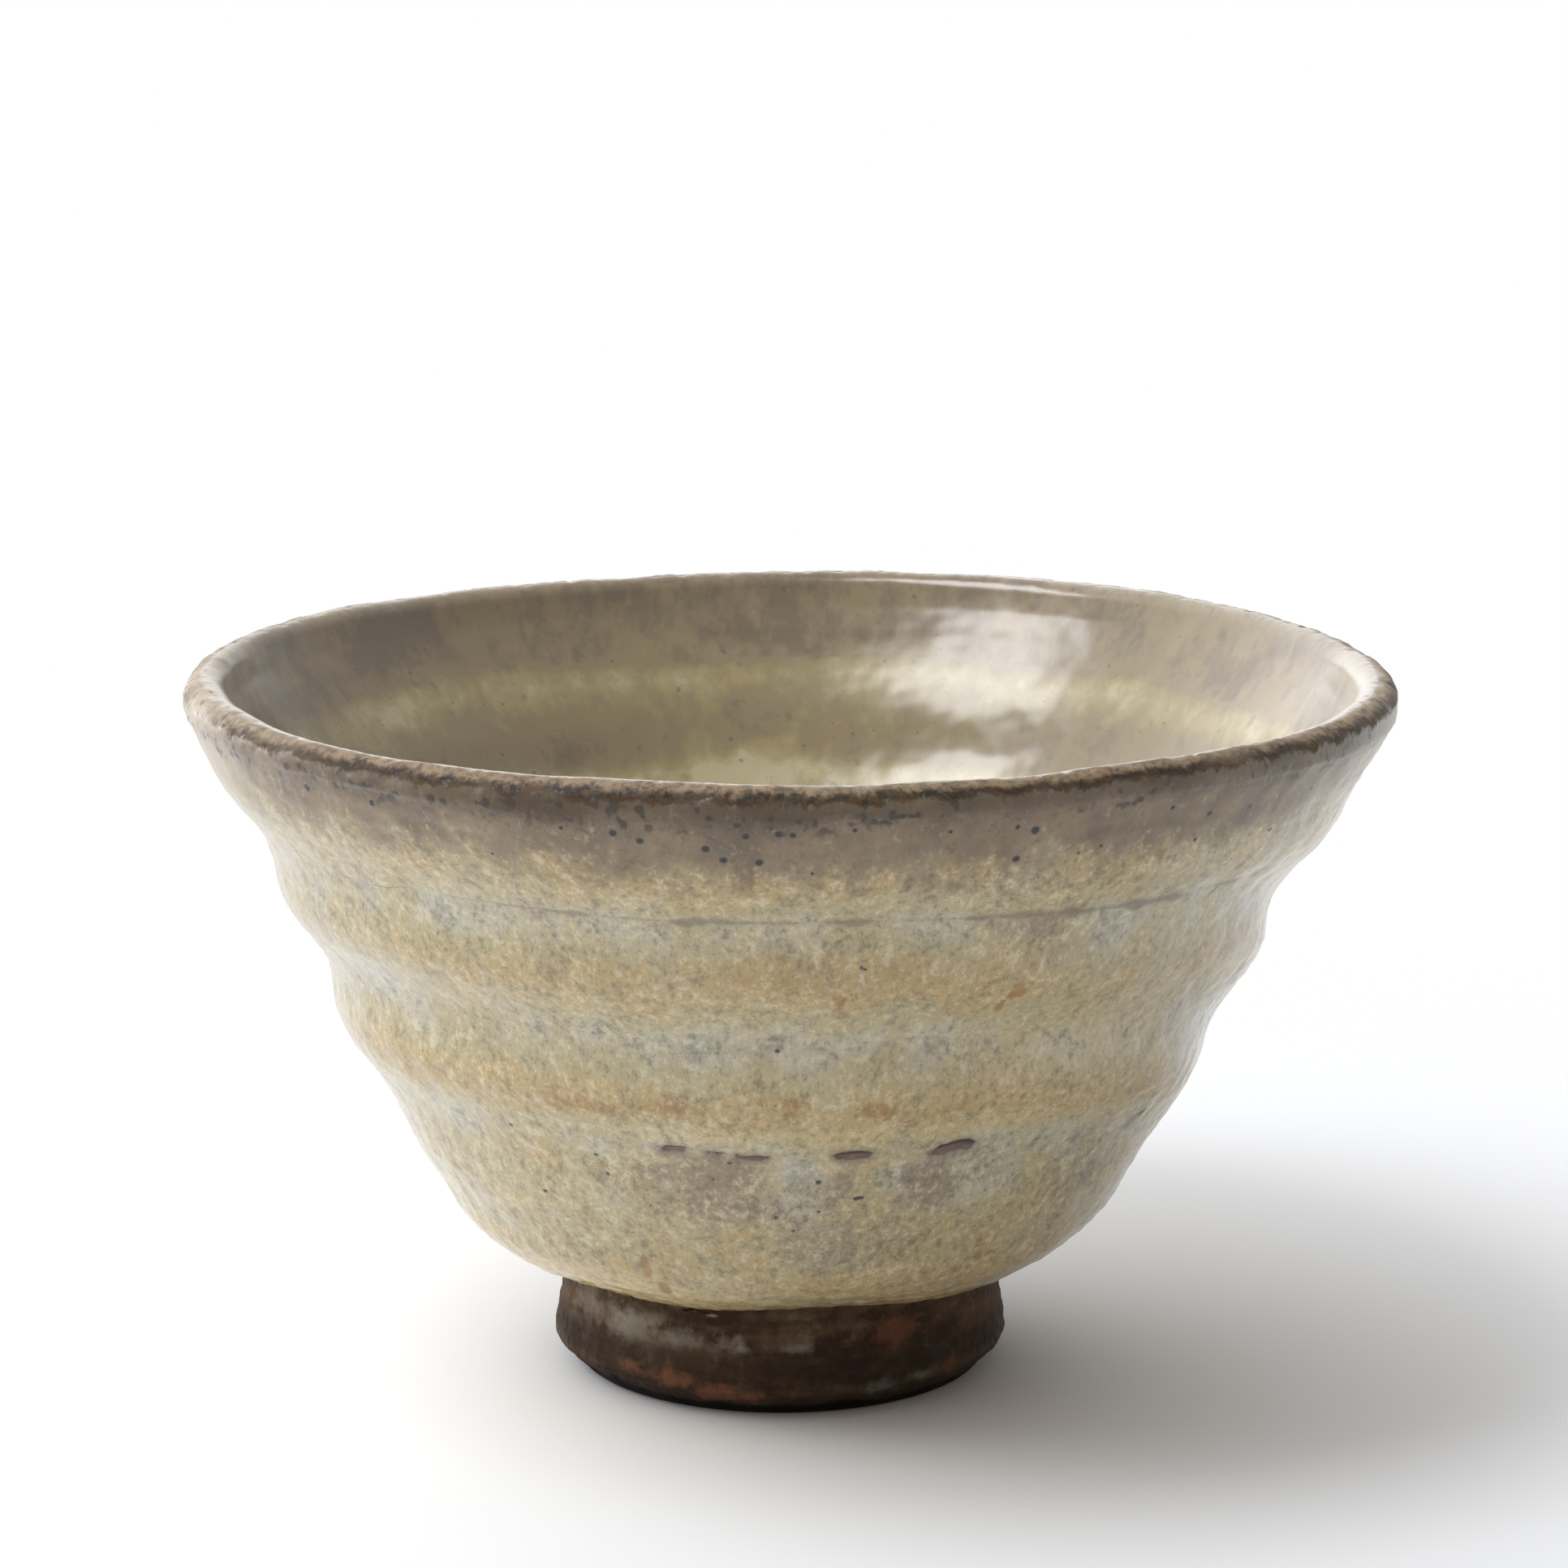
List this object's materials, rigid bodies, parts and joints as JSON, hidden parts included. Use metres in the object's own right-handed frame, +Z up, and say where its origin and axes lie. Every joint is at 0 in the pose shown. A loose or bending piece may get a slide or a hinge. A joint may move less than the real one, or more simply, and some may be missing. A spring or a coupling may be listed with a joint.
{
  "type": "guinomi sake cup",
  "caption": "Wheel-thrown stoneware sake cup: flared bowl with spiral throwing ridges, ash-coloured glaze inside and out, iron-brown lip and a bare turned foot.",
  "frame": {"origin": "on the ground below the middle of the lip's outline", "axes": "+Z up along the thrown axis; -Y is the front in the picture, +X the viewer's right"},
  "size_m": [0.0752, 0.0752, 0.0448],
  "materials": {
    "clay": "matte",
    "foot_clay": "matte",
    "glaze": "satin",
    "roll_glaze": "gloss",
    "lip_glaze": "satin",
    "inside_glaze": "gloss"
  },
  "bodies": {
    "root": {"clay_bowl": "clay", "foot": "foot_clay", "outer_glaze": "glaze", "glaze_roll": "roll_glaze", "lip_glaze": "lip_glaze", "inner_glaze": "inside_glaze"}
  },
  "joints": []
}
